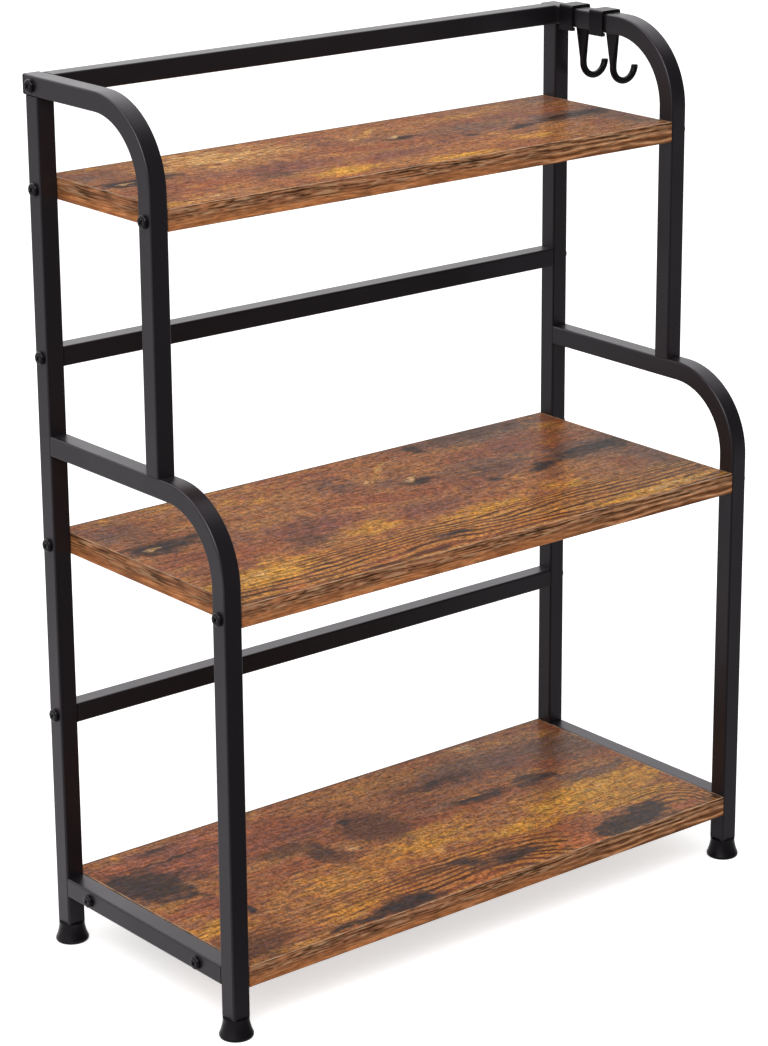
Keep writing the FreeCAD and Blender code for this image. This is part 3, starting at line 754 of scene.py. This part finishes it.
def floor_gloss(graph):
    """Level of the floor for glossy rays."""
    place = graph.coordinates("Object")
    parts = turned_parts(graph, place)
    rising = graph.spread(parts["X"], *SWEEP_RISE)
    falling = graph.spread(parts["X"], *SWEEP_FALL)
    sweep = graph.math("MINIMUM", rising, falling)
    room = graph.spread(parts["X"], *ROOM_RUN)
    shaded = graph.spread(graph.parts(place)["X"], *SHADE_RUN)
    shaded = graph.times(shaded, graph.spread(parts["X"], *SHADE_END))
    share = graph.times(graph.spread(parts["Y"], *SWEEP_EDGE), graph.math("SUBTRACT", 1.0, shaded))
    return graph.blend(share, room, sweep)


def set_floor():
    """Pale floor that keeps the rack's shadow and is clear from below."""
    bpy.ops.mesh.primitive_plane_add(size=FLOOR_SIDE)
    floor = bpy.context.object
    floor.name = "floor"
    material, graph = new_material("floor_white")
    ray = graph.add("ShaderNodeLightPath").outputs
    matt = graph.add("ShaderNodeBsdfDiffuse", {"Color": (FLOOR_ALBEDO, FLOOR_ALBEDO, FLOOR_ALBEDO, 1)})
    seen = graph.math("MAXIMUM", ray["Is Camera Ray"], ray["Is Transmission Ray"])
    lift = graph.add("ShaderNodeEmission", {"Strength": graph.times(seen, FLOOR_LIFT)})
    lit = graph.add("ShaderNodeAddShader", {0: matt.outputs[0], 1: lift.outputs[0]})
    mirrored = graph.add("ShaderNodeEmission", {"Strength": floor_gloss(graph)})
    glossy = ray["Is Glossy Ray"]
    whole = graph.add("ShaderNodeMixShader", {0: glossy, 1: lit.outputs[0], 2: mirrored.outputs[0]})
    below = graph.add("ShaderNodeNewGeometry").outputs["Backfacing"]
    clear = graph.add("ShaderNodeBsdfTransparent")
    whole = graph.add("ShaderNodeMixShader", {0: below, 1: whole.outputs[0], 2: clear.outputs[0]})
    graph.add("ShaderNodeOutputMaterial", {"Surface": whole.outputs[0]})
    floor.data.materials.append(material)


def set_key_light():
    data = bpy.data.lights.new("key_light", "AREA")
    data.size = KEY_SIDE
    data.energy = KEY_POWER
    lamp = bpy.data.objects.new("key_light", data)
    lamp.location = KEY_PLACE
    aim = Vector(KEY_TARGET) - Vector(KEY_PLACE)
    lamp.rotation_euler = aim.to_track_quat("-Z", "Y").to_euler()
    bpy.context.scene.collection.objects.link(lamp)


def joined(shared, own):
    """Patches that two boards share and those of one board alone."""
    return {group: shared.get(group, []) + own.get(group, []) for group, *_ in PATCH_LAYERS}


def board_prints():
    """Finish of each board."""
    low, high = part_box("middle_shelf_board")
    place = ((low[0] + high[0]) / 2, high[1])
    upper = (UPPER_NESTS, UPPER_KNOTS)
    lower = (LOWER_NESTS, LOWER_KNOTS, LOWER_RING_RUN, LOWER_CALM)
    top_patches = joined(UPPER_PRINT, TOP_PRINT)
    middle_patches = joined(UPPER_PRINT, MIDDLE_PRINT)
    return {
        "top": board_print("top_print", top_patches, upper, TOP_RING_COVER, TOP_PRINT_SQUEEZE, *place),
        "middle": board_print("middle_print", middle_patches, upper, MIDDLE_RING_COVER, 1.0, *place),
        "bottom": board_print("bottom_print", LOWER_PRINT, lower, LOWER_RING_COVER, 1.0, *place),
    }


def dress():
    """Put a finish in every material slot of the rack."""
    finishes = {
        "frame_black": black_finish("powder_coat", *POWDER_COAT),
        "bolt_black": black_finish("black_zinc", *BLACK_ZINC),
        "plastic_black": black_finish("moulded_plastic", *MOULDED_PLASTIC),
        "plated_steel": zinc_plate(),
    }
    for board, finish in board_prints().items():
        finishes[board + "_board_decor"] = finish
        finishes[board + "_edge_band"] = band_print(board + "_band", *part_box(board + "_shelf_edge_bands"))
    for name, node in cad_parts.items():
        board = name.split("_")[0]
        for holder in node.material_slots:
            slot = holder.material.name
            holder.material = finishes.get(slot) or finishes[board + "_" + slot]


bpy.context.scene.view_settings.view_transform = "Standard"
set_camera()
set_world()
set_floor()
set_key_light()
dress()
